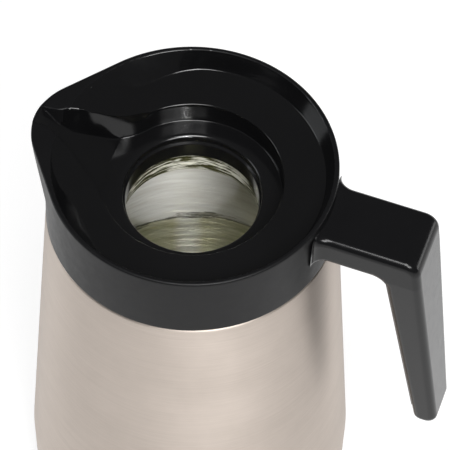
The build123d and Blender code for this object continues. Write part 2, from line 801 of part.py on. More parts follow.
def main():
    os.makedirs("parts", exist_ok=True)
    write("collar", make_collar())
    write("collar_lock_ring", make_lock_ring())
    write("shell_top_gasket", make_top_gasket())
    write("outer_shell", make_shell())

    outer = flask_form(0)
    outer_inside = flask_form(glass_wall)
    inner = flask_form(glass_wall + vacuum_gap)
    inner_inside = flask_form(2 * glass_wall + vacuum_gap)
    write("flask_outer_glass", make_flask_outer(outer, outer_inside))
    write("flask_inner_glass", make_flask_inner(inner, inner_inside))
    write("flask_spacer_pads", *make_spacer_pads(outer_inside, inner))
    write("flask_tail_cap", make_tail_cap())
    write("neck_seal", make_neck_seal())
    write("bottom_cushion", make_cushion(outer))

    write("base_ring", make_base_ring())
    write("base_plate", make_base_plate())
    write("base_gasket", make_base_gasket())
    write("foot_ring", make_foot_ring())

    write("handle_body", make_handle(collar_outer()))
    write("handle_cover", make_cover())
    write("handle_cover_screws", *make_cover_screws())
    write("handle_root_screws", *make_root_screws())
    write("handle_root_inserts", *make_inserts())


main()
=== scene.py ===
import math

import bmesh
import bpy
from mathutils import Matrix, Vector


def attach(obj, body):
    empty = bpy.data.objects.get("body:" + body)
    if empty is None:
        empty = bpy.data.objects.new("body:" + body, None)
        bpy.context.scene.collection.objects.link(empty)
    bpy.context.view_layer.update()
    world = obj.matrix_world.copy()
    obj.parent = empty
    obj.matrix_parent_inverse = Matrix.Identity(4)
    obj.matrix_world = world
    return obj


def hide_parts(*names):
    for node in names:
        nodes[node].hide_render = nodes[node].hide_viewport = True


# Vacuum carafe: flared brushed steel body, black moulded collar with a pouring channel,
# silvered glass flask and a cantilever handle. Lengths are in millimetres until a mesh is made.
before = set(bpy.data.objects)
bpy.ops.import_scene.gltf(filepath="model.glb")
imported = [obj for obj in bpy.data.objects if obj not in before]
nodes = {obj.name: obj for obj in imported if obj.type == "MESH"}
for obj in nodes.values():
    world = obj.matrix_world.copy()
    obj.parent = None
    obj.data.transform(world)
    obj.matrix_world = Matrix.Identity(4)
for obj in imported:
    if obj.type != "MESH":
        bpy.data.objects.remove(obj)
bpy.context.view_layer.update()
MM = 0.001

# ---------------------------------------------------------------- sizes shared with the CAD
RIM_Z = 248.0
RIM_R = 60.0
SKIRT_R = 61.3
COLLAR_FOOT_Z = 215.9
LAND_INNER_R = 58.0
PAN_FLOOR_Z = 239.0
PAN_FOOT_INSET = 3.0
PAN_SCOOP = 5.0
SCOOP_START = 42.0
SCOOP_END = 78.0
WALL = 2.4

NOSE_R = 26.0
SPOUT_REACH = 69.3
SPOUT_DROP = 18.0
SPOUT_BLEND = 0.55
CHANNEL_REACH = 68.5
CHANNEL_SWEEP = 1.4
CHANNEL_LEAN = math.tan(math.radians(12.3))
RAMP_MIDDLE = 47.5
RAMP_MIDDLE_Z = 244.4
RAMP_END = 57.0

WELL_R = 37.8
CHANNEL_START = WELL_R
WELL_EDGE_Z = 236.2
WELL_JOIN = math.radians(43.0)
LEDGE_Z = 225.5
NECK_TOP_R = 31.0
NECK_MOUTH_DROP = 1.2
NECK_SEAT_DEPTH = 2.0
NECK_SEAT_R = 29.0
NECK_R = 28.0
NECK_FOOT_Z = 213.0
NECK_OUTER_R = 29.2
SEAL_TOP_Z = 221.5
THREAD_R = 56.4

LEAST_WALL = 0.3     # a pan wall lower than this closes up
RAMP_BLEND = 0.4     # how softly the pan's dish runs into the ramp
WIDEST_ROUND = 0.8   # the rim's round, and the most that any edge of the collar has

SHELL_WALL = 0.6
SHELL_TOP_Z = 215.4
SHELL_MOUTH_R = 56.6
KNEE_R = 74.8
KNEE_Z = 45.1
SHELL_FOOT_Z = 9.5
SHELL_FOOT_R = 70.2

GLASS = 1.6
FLASK_NECK_R = 29.7
FLASK_LIP_Z = 219.5
FLASK_LIP_DEPTH = 3.0
FLASK_NECK_FOOT_Z = 199.5
FLASK_SHOULDER_Z = 182.5
FLASK_SHOULDER_R = 52.4
FLASK_FOOT_R = 62.9
FLASK_BOTTOM_Z = 26.7
FLASK_GAP = 3.5

# painted light on the silvered wall: a painted shadow edge, a painted highlight stripe and painted
# reflection rings in the neck
PAINTED_SHADOW_EDGE_Z = 115.5
PAINTED_SHADOW_EDGE_TILT = 0.11
PAINTED_HIGHLIGHT_TURN = math.radians(112.0)
PAINTED_REFLECTION_RINGS_Z = 197.0


# ---------------------------------------------------------------- small helpers
def smooth_step(share):
    """Ease from 0 to 1, level at both ends."""
    share = min(max(share, 0.0), 1.0)
    return share * share * (3 - 2 * share)


def mix(a, b, share):
    return a + (b - a) * share


def steps(low, high, count):
    """count + 1 values from low to high."""
    return [mix(low, high, i / count) for i in range(count + 1)]


def curve_through(stations):
    """Smooth y(x) through (x, y) stations with rising x (a cubic Hermite with limited slopes)."""
    xs = [x for x, _ in stations]
    ys = [y for _, y in stations]
    runs = [(ys[i + 1] - ys[i]) / (xs[i + 1] - xs[i]) for i in range(len(xs) - 1)]
    slopes = [runs[0]]
    for before, after in zip(runs, runs[1:]):
        same_way = before * after > 0
        slopes.append(2 * before * after / (before + after) if same_way else 0.0)
    slopes.append(runs[-1])

    def value(x):
        x = min(max(x, xs[0]), xs[-1])
        i = max(j for j in range(len(runs)) if x >= xs[j])
        width = xs[i + 1] - xs[i]
        t = (x - xs[i]) / width
        low = (2 * t**3 - 3 * t**2 + 1) * ys[i] + (t**3 - 2 * t**2 + t) * width * slopes[i]
        high = (3 * t**2 - 2 * t**3) * ys[i + 1] + (t**3 - t**2) * width * slopes[i + 1]
        return low + high

    return value


def add_piece(name, bm, material, replaces):
    """Turn a bmesh in millimetres into a piece of the object that rides on the root."""
    bmesh.ops.recalc_face_normals(bm, faces=bm.faces)
    bmesh.ops.scale(bm, vec=(MM, MM, MM), verts=bm.verts)
    mesh = bpy.data.meshes.new(name)
    bm.to_mesh(mesh)
    bm.free()
    for polygon in mesh.polygons:
        polygon.use_smooth = True
    mesh.materials.append(material)
    piece = bpy.data.objects.new(name, mesh)
    bpy.context.scene.collection.objects.link(piece)
    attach(piece, "root")
    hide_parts(*replaces)
    return piece


def add_grid(bm, rows):
    """Faces between rows of points; all rows have the same number of points."""
    made = [[bm.verts.new(point) for point in row] for row in rows]
    for low, high in zip(made, made[1:]):
        for i in range(len(low) - 1):
            bm.faces.new((low[i], low[i + 1], high[i + 1], high[i]))


def between(first, second, count):
    """Rows of points on straight lines from the points of one row to those of another."""
    rows = []
    for share in steps(0.0, 1.0, count):
        rows.append([Vector(a).lerp(Vector(b), share) for a, b in zip(first, second)])
    return rows


def mark_sharp(piece, degrees):
    """Shade the piece smooth, apart from edges sharper than an angle."""
    with bpy.context.temp_override(selected_editable_objects=[piece], active_object=piece,
                                   object=piece):
        bpy.ops.object.shade_smooth_by_angle(angle=math.radians(degrees))


def weld(bm, distance=0.002):
    """Join points closer than a distance, in millimetres."""
    bmesh.ops.remove_doubles(bm, verts=bm.verts, dist=distance)
    bmesh.ops.dissolve_degenerate(bm, edges=bm.edges, dist=distance)


def mirror_in_y(bm):
    """Add the mirror image across the XZ plane."""
    geometry = bmesh.ops.duplicate(bm, geom=bm.verts[:] + bm.edges[:] + bm.faces[:])["geom"]
    copies = [item for item in geometry if isinstance(item, bmesh.types.BMVert)]
    for vert in copies:
        vert.co.y = -vert.co.y
    faces = [item for item in geometry if isinstance(item, bmesh.types.BMFace)]
    bmesh.ops.reverse_faces(bm, faces=faces)


# ---------------------------------------------------------------- collar
def wall_radius(z):
    lean = (SKIRT_R - RIM_R) / (RIM_Z - COLLAR_FOOT_Z)
    return RIM_R + lean * (RIM_Z - z)


def outline_radius(angle, z):
    """Outside of the collar at an angle from the spout's direction."""
    base = wall_radius(z)
    up = (z - RIM_Z + SPOUT_DROP) / SPOUT_DROP
    share = smooth_step(up) * SPOUT_BLEND + (1 - SPOUT_BLEND) * max(0.0, up)
    centre = share * (SPOUT_REACH - NOSE_R)
    if centre <= 0:
        return base
    nose = base - share * (RIM_R - NOSE_R)
    contact = math.acos((base - nose) / centre)
    nose_end = math.atan2(nose * math.sin(contact), centre + nose * math.cos(contact))
    away = abs(angle)
    if away >= contact:
        return base
    if away >= nose_end:
        return base / math.cos(contact - away)
    return centre * math.cos(away) + math.sqrt(nose**2 - (centre * math.sin(away)) ** 2)


ramp_height = curve_through([
    (20.0, 232.5), (27.0, 236.1), (31.0, 237.4), (35.0, 238.6), (39.0, 239.9), (43.0, 241.7),
    (RAMP_MIDDLE, RAMP_MIDDLE_Z), (52.0, 246.6), (RAMP_END, RIM_Z)])


def foot_radius(angle):
    """Where the pan's floor ends; scooped inwards beside the spout."""
    away = math.degrees(abs(angle))
    scoop = smooth_step((SCOOP_END - away) / (SCOOP_END - SCOOP_START))
    return LAND_INNER_R - PAN_FOOT_INSET - PAN_SCOOP * scoop


def at_angle(angle, radius, z):
    """Point at an angle from the spout's direction (-X) towards +Y."""
    return Vector((-radius * math.cos(angle), radius * math.sin(angle), z))


def pan_height(x, y):
    """Height of the pan's floor: a shallow dish that blends into the ramp towards the spout."""
    foot = foot_radius(math.atan2(y, -x))
    share = min(1.0, max(0.0, (math.hypot(x, y) - WELL_R) / (foot - WELL_R)))
    dish = mix(WELL_EDGE_Z, PAN_FLOOR_Z, share)
    ramp = ramp_height(-x)
    return min(RIM_Z, (dish + ramp + math.sqrt((dish - ramp) ** 2 + RAMP_BLEND**2)) / 2)


def pan_foot(angle):
    """Where the pan's wall meets its floor or the ramp."""
    low, high = PAN_FLOOR_Z - 1.0, RIM_Z
    foot = foot_radius(angle)
    for _ in range(40):
        z = (low + high) / 2
        share = (z - PAN_FLOOR_Z) / (RIM_Z - PAN_FLOOR_Z)
        point = at_angle(angle, mix(foot, LAND_INNER_R, share), z)
        if z < pan_height(point.x, point.y):
            low = z
        else:
            high = z
    return point


join_reach = WELL_R * math.cos(WELL_JOIN)
floor_half_width = curve_through([
    (join_reach, WELL_R * math.sin(WELL_JOIN)), (31.5, 20.8), (34.7, 17.8), (37.9, 15.6),
    (41.0, 13.3), (47.5, 9.24), (53.0, 4.5), (57.0, 0.9), (61.0, 0.1), (CHANNEL_REACH, 0.1)])
lean_share = curve_through([
    (join_reach, 0.0), (31.5, 0.72), (34.7, 0.62), (37.9, 0.5), (41.0, 0.55), (47.5, 0.52),
    (53.0, 0.96), (57.0, 1.3), (61.0, 1.0), (CHANNEL_REACH, 0.81)])


def channel_wall(reach, z):
    """Point on the channel's side wall."""
    rise = (z - LEDGE_Z) * CHANNEL_LEAN * lean_share(reach)
    return Vector((-reach, floor_half_width(reach) + rise, z))


def channel_floor(reach):
    """Height of the channel's floor: flat to the well's wall, then a hollow rise to the lip."""
    share = max(0.0, reach - CHANNEL_START) / (CHANNEL_REACH - CHANNEL_START)
    return LEDGE_Z + share**CHANNEL_SWEEP * (RIM_Z - LEDGE_Z)


def polar(point):
    """Angle of a point from the spout's direction."""
    return math.atan2(point.y, -point.x)


def channel_edge(reach):
    """Upper edge of the channel's side wall."""
    z = ramp_height(reach)
    for _ in range(4):
        point = channel_wall(reach, z)
        z = pan_height(point.x, point.y)
    point.z = z
    return point


def collar_mesh():
    """Half of the collar as patches that share their edge points, mirrored and welded."""
    bm = bmesh.new()
    across = 6
    # The pan runs from its foot to the edge of channel and well: 40 + 150 parts meet 70 + 120.
    ramp_parts, foot_parts = 40, 150
    channel_parts, well_parts = 70, 120
    mouth_reaches = steps(CHANNEL_REACH, RAMP_END, 16)

    lip_half_width = channel_wall(CHANNEL_REACH, RIM_Z).y
    lip = [Vector((-CHANNEL_REACH, y, RIM_Z)) for y in steps(0.0, lip_half_width, 5)]
    mouth = [channel_wall(reach, RIM_Z) for reach in mouth_reaches]
    ramp_corner_y = math.sqrt(LAND_INNER_R**2 - RAMP_END**2)
    ramp_line = [Vector((-RAMP_END, y, RIM_Z)) for y in steps(mouth[-1].y, ramp_corner_y, across)]
    corner = polar(ramp_line[-1])
    ramp_foot_angle = math.acos(0.75)   # up to here the foot's points lie closer together
    foot_angles = steps(corner, ramp_foot_angle, ramp_parts)
    foot_angles += steps(ramp_foot_angle, math.pi, foot_parts)[1:]
    pan_edge = [at_angle(angle, LAND_INNER_R, RIM_Z) for angle in foot_angles]

    # outer wall, rim and land
    land_inner = lip + mouth[1:] + ramp_line[1:] + pan_edge[1:]
    angles = [polar(point) for point in land_inner]
    heights = steps(COLLAR_FOOT_Z, RIM_Z - 2 * WIDEST_ROUND, 24) + [RIM_Z]
    add_grid(bm, [[at_angle(a, outline_radius(a, z), z) for a in angles] for z in heights])
    outer = [at_angle(a, outline_radius(a, RIM_Z), RIM_Z) for a in angles]
    add_grid(bm, between(outer, land_inner, 2))

    # pan wall
    foot = [pan_foot(angle) for angle in foot_angles]
    foot = [top if top.z - low.z < LEAST_WALL else low for top, low in zip(pan_edge, foot)]
    add_grid(bm, between(pan_edge, foot, 5))

    # ramp and pan floor
    reaches = steps(RAMP_END, join_reach, channel_parts)
    edge = [channel_edge(reach) for reach in reaches]
    well_angles = steps(WELL_JOIN, math.pi, well_parts)[1:]
    for angle in well_angles:
        point = at_angle(angle, WELL_R, 0.0)
        edge.append(Vector((point.x, point.y, pan_height(point.x, point.y))))
    edge[0].z = RIM_Z
    rows = between(foot, edge, across)
    for row in rows[1:-1]:
        for point in row:
            point.z = pan_height(point.x, point.y)
    add_grid(bm, rows)

    # channel and well walls
    tops = mouth[:-1] + edge[:len(reaches)]
    reaches = mouth_reaches + reaches[1:]
    wall_rows = []
    for share in steps(0.0, 1.0, 9):
        row = []
        for reach, top in zip(reaches, tops):
            z = mix(top.z, channel_floor(reach), share)
            row.append(channel_wall(reach, z))
        for angle, top in zip(well_angles, edge[-len(well_angles):]):
            row.append(at_angle(angle, WELL_R, mix(top.z, LEDGE_Z, share)))
        wall_rows.append(row)
    add_grid(bm, wall_rows)

    # channel floor: from the lip to where it meets the ledge
    lower_edge = wall_rows[-1]
    sloping = [point for point in lower_edge if -point.x > CHANNEL_START]
    start = channel_wall(CHANNEL_START, LEDGE_Z)
    level = [point for point in lower_edge if -point.x <= CHANNEL_START]
    sloping.append(start)
    middle = [Vector((point.x, 0.0, point.z)) for point in sloping]
    add_grid(bm, between(sloping, middle, 5))
    if (level[0] - start).length < 0.01:
        level = level[1:]
    across_start = between([start], [Vector((-CHANNEL_START, 0.0, LEDGE_Z))], 5)
    ledge_outer = [row[0] for row in reversed(across_start)][:-1] + [start] + level
    ledge_angles = [polar(point) for point in ledge_outer]
    neck_mouth = [at_angle(angle, NECK_TOP_R, LEDGE_Z) for angle in ledge_angles]
    add_grid(bm, between(ledge_outer, neck_mouth, 3))

    # neck, its foot, and the underside
    seat_z = LEDGE_Z - NECK_MOUTH_DROP - NECK_SEAT_DEPTH
    mouth_width = NECK_TOP_R - NECK_SEAT_R
    neck = [(NECK_SEAT_R + mouth_width * (1 - math.sin(turn)),
             LEDGE_Z - NECK_MOUTH_DROP * (1 - math.cos(turn))) for turn in steps(0.0, math.pi / 2, 8)]
    neck += [(NECK_SEAT_R, seat_z), (NECK_R, seat_z - 1.0), (NECK_R, NECK_FOOT_Z),
             (NECK_OUTER_R, NECK_FOOT_Z), (NECK_OUTER_R, SEAL_TOP_Z)]
    add_grid(bm, [[at_angle(a, radius, z) for a in ledge_angles] for radius, z in neck])
    roof = WELL_EDGE_Z - WALL
    under = []
    for radius, level_z in ((NECK_OUTER_R, SEAL_TOP_Z), (WELL_R + WALL, SEAL_TOP_Z),
                            (WELL_R + WALL, roof), (45.0, roof), (50.0, roof), (THREAD_R, roof)):
        row = []
        for angle in ledge_angles:
            point = at_angle(angle, radius, level_z)
            reach = -point.x
            # under the channel the roof follows the channel's floor
            if reach > join_reach and point.y < floor_half_width(reach) + 7.0:
                point.z = min(level_z, channel_floor(reach) - 1.6 * WALL)
            point.z = max(point.z, SEAL_TOP_Z)
            row.append(point)
        under.append(row)
    add_grid(bm, under)
    skirt_inner = [at_angle(angle, THREAD_R, COLLAR_FOOT_Z) for angle in ledge_angles]
    skirt_outer = [at_angle(a, outline_radius(a, COLLAR_FOOT_Z), COLLAR_FOOT_Z) for a in angles]
    add_grid(bm, [under[-1], skirt_inner])
    zip_rings(bm, skirt_inner, skirt_outer)

    weld(bm)
    mirror_in_y(bm)
    weld(bm)
    return bm


def zip_rings(bm, first, second):
    """Triangles between two rings of points with different counts, paired by polar angle."""
    low = [bm.verts.new(point) for point in first]
    high = [bm.verts.new(point) for point in second]
    i = j = 0
    last_low, last_high = len(low) - 1, len(high) - 1
    while i < last_low or j < last_high:
        if j == last_high or (i < last_low and polar(first[i + 1]) <= polar(second[j + 1])):
            bm.faces.new((low[i], low[i + 1], high[j]))
            i += 1
        else:
            bm.faces.new((low[i], high[j + 1], high[j]))
            j += 1


# ---------------------------------------------------------------- materials
class Look:
    """A material under construction: its node tree and its shader."""

    def __init__(self, name, **inputs):
        self.material = bpy.data.materials.new(name)
        self.material.use_nodes = True
        self.nodes = self.material.node_tree.nodes
        self.links = self.material.node_tree.links
        self.shader = self.nodes["Principled BSDF"]
        self.set(self.shader, **inputs)

    def put(self, value, socket):
        """Link a node's output to a socket, or give the socket a constant."""
        if isinstance(value, bpy.types.NodeSocket):
            self.links.new(value, socket)
        else:
            socket.default_value = value

    def set(self, node, **inputs):
        """Fill a node's inputs; an underscore stands for a space in an input's name."""
        for key, value in inputs.items():
            self.put(value, node.inputs[key.replace("_", " ")])

    def add(self, kind, settings=None, **inputs):
        node = self.nodes.new(kind)
        for key, value in (settings or {}).items():
            setattr(node, key, value)
        self.set(node, **inputs)
        return node

    def math(self, operation, first, second=0.0):
        node = self.add("ShaderNodeMath", {"operation": operation})
        for socket, value in zip(node.inputs, (first, second)):
            self.put(value, socket)
        return node.outputs[0]

    def place(self):
        """Object coordinates, in millimetres."""
        here = self.add("ShaderNodeTexCoord").outputs["Object"]
        scaled = self.add("ShaderNodeVectorMath", {"operation": "SCALE"}, Vector=here, Scale=1 / MM)
        return scaled.outputs[0]

    def round_place(self, along):
        """Coordinates that follow a turned surface: (along the turn / along, radius, height)."""
        parts = self.add("ShaderNodeSeparateXYZ", Vector=self.place()).outputs
        turn = self.math("ARCTAN2", parts[1], parts[0])
        squares = self.math("POWER", parts[0], 2.0), self.math("POWER", parts[1], 2.0)
        radius = self.math("SQRT", self.math("ADD", *squares))
        along_turn = self.math("MULTIPLY", turn, RIM_R / along)
        return self.add("ShaderNodeCombineXYZ", X=along_turn, Y=radius, Z=parts[2]).outputs[0]

    def noise(self, vector, scale, detail=3.0, roughness=0.55):
        return self.add("ShaderNodeTexNoise", Vector=vector, Scale=scale, Detail=detail,
                        Roughness=roughness).outputs["Fac"]

    def spread(self, value, low, high, start=0.0, end=1.0):
        """Map a value from start..end to low..high, clamped."""
        return self.add("ShaderNodeMapRange", {"clamp": True}, Value=value, From_Min=start, From_Max=end,
                        To_Min=low, To_Max=high).outputs[0]

    def colours(self, value, first, second):
        """Map 0..1 to a run between two colours."""
        ramp = self.add("ShaderNodeValToRGB", Fac=value)
        ramp.color_ramp.elements[0].color = (*first, 1.0)
        ramp.color_ramp.elements[1].color = (*second, 1.0)
        return ramp.outputs[0]

    def flat(self, colour):
        node = self.add("ShaderNodeRGB")
        node.outputs[0].default_value = (*colour, 1.0)
        return node.outputs[0]

    def blend(self, share, first, second):
        """Colour between two colours."""
        node = self.add("ShaderNodeMix", {"data_type": "RGBA"})
        factor, colour_a, colour_b, colour_out = 0, 6, 7, 2
        for index, value in ((factor, share), (colour_a, first), (colour_b, second)):
            self.put(value, node.inputs[index])
        return node.outputs[colour_out]

    def bump(self, height, distance_mm, under=None):
        """Normal of a relief, laid over another normal where one is given."""
        node = self.add("ShaderNodeBump", Height=height, Strength=1.0, Distance=distance_mm * MM)
        if under is not None:
            self.put(under, node.inputs["Normal"])
        return node.outputs[0]


def moulded_black(name, dark, light, low, high, grain, gloss):
    """Moulded black plastic: mottled colour, uneven roughness, slow waves and a fine grain."""
    look = Look(name, Specular_IOR_Level=gloss)
    place = look.place()
    patches = look.noise(place, 0.035, 4.0)
    smears = look.noise(place, 0.22, 5.0, 0.7)
    look.set(look.shader, Base_Color=look.colours(patches, dark, light),
             Roughness=look.spread(smears, low, high, 0.3, 0.7))
    wave = look.bump(look.noise(place, 0.05, 2.0), 0.04)
    look.set(look.shader, Normal=look.bump(look.noise(place, 3.2, 2.0), grain, under=wave))
    return look.material


def brushed_steel():
    """Warm stainless steel with fine lines round the body and faint clouds."""
    look = Look("brushed_steel", Metallic=1.0, Anisotropic=0.7, Anisotropic_Rotation=0.25)
    turned = look.round_place(along=55.0)
    lines = look.noise(turned, 7.0, 4.0, 0.65)
    coarse = look.noise(turned, 1.6, 3.0)
    clouds = look.noise(look.place(), 0.022, 4.0, 0.6)
    tone = look.math("ADD", look.math("MULTIPLY", clouds, 0.7), look.math("MULTIPLY", coarse, 0.3))
    look.set(look.shader, Base_Color=look.colours(look.spread(tone, 0.0, 1.0, 0.35, 0.65),
                                                  (0.51, 0.447, 0.397), (0.61, 0.54, 0.485)))
    rough = look.math("ADD", look.spread(lines, 0.46, 0.56, 0.3, 0.7),
                      look.spread(clouds, -0.03, 0.04, 0.3, 0.7))
    look.set(look.shader, Roughness=rough)
    look.set(look.shader, Normal=look.bump(lines, 0.004))
    return look.material


def silvered_glass():
    """Silvered glass with painted light: bright silver above a ragged painted shadow edge, painted olive
    shade below it, streaky painted reflection rings in the neck.
    """
    look = Look("silvered_glass", Metallic=0.5, Specular_IOR_Level=0.6)
    place = look.place()
    parts = look.add("ShaderNodeSeparateXYZ", Vector=place).outputs
    height = parts[2]
    streaks = look.noise(look.round_place(along=9.0), 0.22, 4.0, 0.7)

    # painted olive shade below the painted shadow edge, but for one painted highlight stripe
    ragged = look.math("MULTIPLY", look.noise(look.round_place(along=5.0), 0.16, 5.0, 0.65), 26.0)
    tilt = look.math("MULTIPLY", parts[0], PAINTED_SHADOW_EDGE_TILT)
    level = look.math("SUBTRACT", look.math("SUBTRACT", height, ragged), tilt)
    painted_shade = look.spread(level, 1.0, 0.0, PAINTED_SHADOW_EDGE_Z - 1.5, PAINTED_SHADOW_EDGE_Z + 1.5)
    turn = look.math("ARCTAN2", parts[1], parts[0])
    # painted highlight: a vertical stripe left free of the painted shade
    off_painted_highlight = look.math("ABSOLUTE", look.math("SUBTRACT", turn, PAINTED_HIGHLIGHT_TURN))
    painted_shade = look.math("MULTIPLY", painted_shade, look.spread(off_painted_highlight, 0.1, 1.0, 0.03, 0.13))
    painted_lit_silver = look.colours(look.spread(streaks, 0.0, 1.0, 0.35, 0.65),
                         (0.80, 0.785, 0.73), (0.96, 0.955, 0.92))
    painted_shade_olive = look.colours(look.spread(streaks, 0.0, 1.0, 0.3, 0.7),
                         (0.42, 0.41, 0.25), (0.80, 0.79, 0.60))
    body = look.blend(painted_shade, painted_lit_silver, painted_shade_olive)

    # painted reflection rings in the neck
    rings = look.noise(look.round_place(along=14.0), 0.75, 3.0, 0.6)
    painted_reflection_ringed = look.colours(look.spread(rings, 0.0, 1.0, 0.46, 0.60),
                          (0.06, 0.06, 0.02), (0.93, 0.92, 0.80))
    # the neck takes the painted reflection rings
    neck = look.spread(height, 0.0, 1.0, PAINTED_REFLECTION_RINGS_Z - 3.0, PAINTED_REFLECTION_RINGS_Z)
    colour = look.blend(neck, body, painted_reflection_ringed)

    # painted dark line along the painted shadow edge, broken by the streaks
    from_painted_shadow_edge = look.math("ABSOLUTE", look.math("SUBTRACT", level, PAINTED_SHADOW_EDGE_Z))
    painted_shadow_line = look.math("MULTIPLY", look.spread(from_painted_shadow_edge, 1.0, 0.0, 0.6, 2.6),
                     look.spread(streaks, 0.0, 0.9, 0.40, 0.50))
    colour = look.blend(painted_shadow_line, colour, look.flat((0.07, 0.068, 0.05)))
    look.set(look.shader, Base_Color=colour)
    look.set(look.shader, Roughness=look.spread(look.noise(place, 0.09, 3.0), 0.14, 0.24, 0.3, 0.7))
    look.set(look.shader, Normal=look.bump(look.noise(look.round_place(along=6.0), 0.3, 3.0), 0.5))
    return look.material


def plain_look(name, dark, light, low, high, metallic=0.0, grain=0.01):
    """Material with mottled colour, uneven roughness and a fine grain."""
    look = Look(name, Metallic=metallic)
    place = look.place()
    patches = look.noise(place, 0.2, 4.0)
    look.set(look.shader, Base_Color=look.colours(patches, dark, light))
    look.set(look.shader, Roughness=look.spread(look.noise(place, 0.6, 3.0), low, high, 0.3, 0.7))
    look.set(look.shader, Normal=look.bump(look.noise(place, 2.5, 2.0), grain))
    return look.material


BLACK = ((0.0035, 0.0035, 0.0038), (0.0050, 0.0050, 0.0054))
SATIN_BLACK = ((0.0045, 0.0045, 0.0050), (0.0065, 0.0065, 0.0070))
gloss_black = moulded_black("moulded_black_gloss", *BLACK, 0.10, 0.16, 0.0006, 0.45)
satin_black = moulded_black("moulded_black_satin", *SATIN_BLACK, 0.36, 0.44, 0.006, 0.17)
handle_black = moulded_black("handle_black", *SATIN_BLACK, 0.15, 0.23, 0.002, 0.24)
base_black = moulded_black("base_black", *SATIN_BLACK, 0.36, 0.46, 0.006, 0.3)
steel = brushed_steel()
# silver with painted shade, a painted highlight stripe and painted reflection rings
silver = silvered_glass()
seal_black = plain_look("seal_black", (0.006, 0.006, 0.006), (0.010, 0.010, 0.010), 0.55, 0.75)
seal_grey = plain_look("seal_grey", (0.16, 0.16, 0.155), (0.22, 0.22, 0.21), 0.5, 0.7)
rubber = plain_look("foot_rubber", (0.010, 0.010, 0.011), (0.018, 0.018, 0.018), 0.6, 0.85, grain=0.03)
screw = plain_look("screw_steel", (0.42, 0.42, 0.42), (0.55, 0.55, 0.54), 0.25, 0.4, metallic=1.0)
brass = plain_look("insert_brass", (0.55, 0.40, 0.16), (0.66, 0.49, 0.22), 0.3, 0.45, metallic=1.0)
spacer = plain_look("spacer_pad", (0.40, 0.38, 0.34), (0.50, 0.48, 0.44), 0.6, 0.8)

finishes = {
    "collar": satin_black, "handle_body": handle_black, "handle_cover": handle_black,
    "outer_shell": steel, "flask_outer_glass": silver, "flask_inner_glass": silver,
    "base_ring": base_black, "base_plate": base_black, "collar_lock_ring": base_black,
    "shell_top_gasket": seal_black, "base_gasket": seal_black, "neck_seal": seal_grey,
    "bottom_cushion": seal_grey, "flask_tail_cap": seal_grey, "flask_spacer_pads": spacer,
    "foot_ring": rubber, "handle_cover_screws": screw, "handle_root_screws": screw,
    "handle_root_inserts": brass,
}
for name, material in finishes.items():
    mesh = nodes[name].data
    mesh.materials.clear()
    mesh.materials.append(material)


# ---------------------------------------------------------------- camera, lights and floor
def make_camera():
    """Camera 0.94 m from the rim, 56 degrees above it, on the spout's right."""
    tilt, roll, turn = 0.97628, 0.030875, math.radians(-18.7)
    distance = 937.72
    frame_px, focal_px = 450.0, 2300.0
    aim_px = (192.584, 161.400)

    def to_part(x, y, z):
        return Vector((x * math.cos(turn) + y * math.sin(turn),
                       -x * math.sin(turn) + y * math.cos(turn), z))

    forward = to_part(0.0, math.cos(tilt), -math.sin(tilt))
    right = to_part(1.0, 0.0, 0.0)
    up = to_part(0.0, math.sin(tilt), math.cos(tilt))
    rolled_right = right * math.cos(roll) + up * math.sin(roll)
    rolled_up = up * math.cos(roll) - right * math.sin(roll)
    across = (aim_px[0] - frame_px / 2) / focal_px
    down = (aim_px[1] - frame_px / 2) / focal_px
    ray = (rolled_right * across - rolled_up * down + forward).normalized()
    spot = Vector((0.0, 0.0, RIM_Z)) - ray * distance
    data = bpy.data.cameras.new("camera")
    sensor_mm = 36.0
    data.sensor_width = sensor_mm
    data.lens = sensor_mm * focal_px / frame_px
    data.clip_start = 0.05
    data.clip_end = 50.0
    camera = bpy.data.objects.new("camera", data)
    bpy.context.scene.collection.objects.link(camera)
    axes = Matrix((rolled_right, rolled_up, -forward)).transposed()
    camera.matrix_world = Matrix.Translation(spot * MM) @ axes.to_4x4()
    bpy.context.scene.camera = camera


def add_lamp(name, data, azimuth, elevation, distance, aim_z):
    """Lamp that faces a height on the axis; azimuth is measured from +X, angles are in degrees."""
    lamp = bpy.data.objects.new(name, data)
    bpy.context.scene.collection.objects.link(lamp)
    a, e = math.radians(azimuth), math.radians(elevation)
    away = Vector((math.cos(a) * math.cos(e), math.sin(a) * math.cos(e), math.sin(e)))
    lamp.location = Vector((0.0, 0.0, aim_z)) + away * distance
    lamp.rotation_euler = away.to_track_quat("Z", "Y").to_euler()


def softbox(name, azimuth, elevation, distance, width, height, watts, colour=(1.0, 1.0, 1.0)):
    """Rectangular lamp that faces the upper part of the body."""
    data = bpy.data.lights.new(name, "AREA")
    data.shape = "RECTANGLE"
    data.size = width
    data.size_y = height
    data.energy = watts
    data.color = colour
    add_lamp(name, data, azimuth, elevation, distance, 0.2)


def neck_spot(name, azimuth, elevation, distance, watts, half_width, softness):
    """Narrow lamp that shines through the neck; half_width is the beam's, in millimetres."""
    data = bpy.data.lights.new(name, "SPOT")
    data.energy = watts
    data.spot_size = 2 * math.atan(half_width * MM / distance)
    data.spot_blend = softness
    data.shadow_soft_size = 0.02
    add_lamp(name, data, azimuth, elevation, distance, LEDGE_Z * MM)


def make_world(level):
    """Dim even light that the camera sees as plain white."""
    world = bpy.data.worlds.new("studio")
    bpy.context.scene.world = world
    world.use_nodes = True
    tree = world.node_tree
    background = tree.nodes["Background"]
    path = tree.nodes.new("ShaderNodeLightPath")
    strength = tree.nodes.new("ShaderNodeMath")
    strength.operation = "MAXIMUM"
    strength.inputs[1].default_value = level
    tree.links.new(path.outputs["Is Camera Ray"], strength.inputs[0])
    background.inputs["Color"].default_value = (1.0, 1.0, 1.0, 1.0)
    tree.links.new(strength.outputs[0], background.inputs["Strength"])


